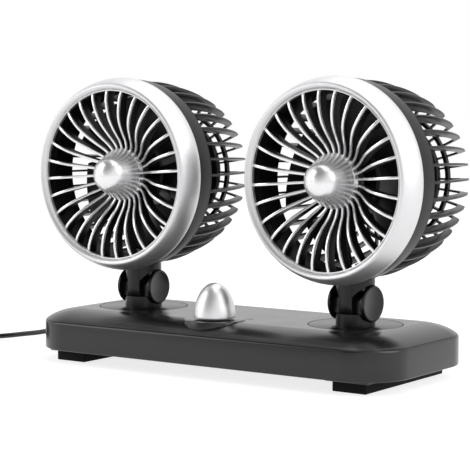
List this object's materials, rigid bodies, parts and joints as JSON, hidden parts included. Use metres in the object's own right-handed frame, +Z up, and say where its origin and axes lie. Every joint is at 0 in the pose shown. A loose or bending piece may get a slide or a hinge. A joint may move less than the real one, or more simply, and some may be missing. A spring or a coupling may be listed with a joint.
{
  "type": "car fan",
  "caption": "Car fan with paired tilting and turning round heads on a low base, with silver rims, radial grilles, a speed knob, rubber feet and a coiled cord with a lighter plug",
  "frame": {"origin": "Centre of the base's footprint at table height, under the middle between the two necks, with the cord and plug left out", "axes": "+X along the base towards the right head as seen from the front, +Y to the back, so the fans blow to -Y, +Z up"},
  "size_m": [0.4006, 0.0934, 0.1491],
  "materials": {
    "base_black": "satin moulded ABS",
    "foot_plate": "moulded ABS",
    "foot_rubber": "matt rubber",
    "screw_steel": "zinc plated steel",
    "board_green": "glass fibre laminate with solder mask",
    "component_grey": "moulded cases",
    "bright_trim": "satin chrome plated ABS",
    "light_pipe": "smoked clear acrylic",
    "neck_black": "satin moulded ABS",
    "nylon_white": "natural nylon",
    "housing_black": "satin moulded ABS",
    "silver_paint": "satin silver paint on ABS",
    "motor_steel": "plated steel can",
    "blade_grey": "moulded polypropylene",
    "cord_black": "soft PVC",
    "plug_black": "satin moulded ABS",
    "contact_steel": "nickel plated brass",
    "fuse_glass": "glass tube fuse"
  },
  "bodies": {
    "base": {"base_lid": "base_black", "base_tray": "base_black", "left_foot_plate": "foot_plate", "right_foot_plate": "foot_plate", "left_foot_pad": "foot_rubber", "right_foot_pad": "foot_rubber", "base_screws": "screw_steel", "circuit_board": "board_green", "board_components": "component_grey", "speed_control": "component_grey", "indicator_light": "light_pipe", "cord_grommet": "cord_black", "power_cord": "cord_black", "cord_coil": "cord_black", "plug_strain_relief": "cord_black", "plug_body": "plug_black", "plug_side_contacts": "contact_steel", "plug_ring_cap": "plug_black", "plug_fuse": "fuse_glass"},
    "knob": {"speed_knob": "bright_trim", "control_shaft": "screw_steel"},
    "plug_tip": {"plug_tip": "contact_steel"},
    "left_swivel": {"left_turntable": "neck_black", "left_turntable_clip": "nylon_white", "left_hinge_bolt": "screw_steel", "left_hinge_caps": "neck_black"},
    "left_head": {"left_housing": "housing_black", "left_bezel": "silver_paint", "left_grille": "housing_black", "left_grille_trim": "bright_trim", "left_spinner": "bright_trim", "left_rear_cage": "housing_black", "left_rear_cap": "housing_black", "left_motor": "motor_steel", "left_motor_screws": "screw_steel"},
    "left_rotor": {"left_impeller": "blade_grey", "left_motor_shaft": "screw_steel"},
    "right_swivel": {"right_turntable": "neck_black", "right_turntable_clip": "nylon_white", "right_hinge_bolt": "screw_steel", "right_hinge_caps": "neck_black"},
    "right_head": {"right_housing": "housing_black", "right_bezel": "silver_paint", "right_grille": "housing_black", "right_grille_trim": "bright_trim", "right_spinner": "bright_trim", "right_rear_cage": "housing_black", "right_rear_cap": "housing_black", "right_motor": "motor_steel", "right_motor_screws": "screw_steel"},
    "right_rotor": {"right_impeller": "blade_grey", "right_motor_shaft": "screw_steel"}
  },
  "joints": [
    {"name": "left_turn", "type": "hinge", "parent": "base", "child": "left_swivel", "pos_m": [-0.0663, 0, 0.0271], "axis": [0, 0, 1], "range_deg": [-170, 170]},
    {"name": "left_tilt", "type": "hinge", "parent": "left_swivel", "child": "left_head", "pos_m": [-0.0663, 0, 0.0378], "axis": [1, 0, 0], "range_deg": [-35, 35]},
    {"name": "left_spin", "type": "hinge", "parent": "left_head", "child": "left_rotor", "pos_m": [-0.0663, 0, 0.0985], "axis": [0, 1, 0], "continuous": true},
    {"name": "right_turn", "type": "hinge", "parent": "base", "child": "right_swivel", "pos_m": [0.0663, 0, 0.0271], "axis": [0, 0, 1], "range_deg": [-170, 170]},
    {"name": "right_tilt", "type": "hinge", "parent": "right_swivel", "child": "right_head", "pos_m": [0.0663, 0, 0.0378], "axis": [0.9965, -0.0837, 0], "range_deg": [-35, 35]},
    {"name": "right_spin", "type": "hinge", "parent": "right_head", "child": "right_rotor", "pos_m": [0.0663, 0, 0.0985], "axis": [0.0837, 0.9965, 0], "continuous": true},
    {"name": "speed_turn", "type": "hinge", "parent": "base", "child": "knob", "pos_m": [0, -0.0268, 0.0284], "axis": [0, 0, 1], "range_deg": [-270, 0]},
    {"name": "tip_press", "type": "slide", "parent": "base", "child": "plug_tip", "axis": [1, 0, 0], "range_m": [0, 0.003], "stiffness_N_per_m": 800, "springref_m": -0.003}
  ]
}
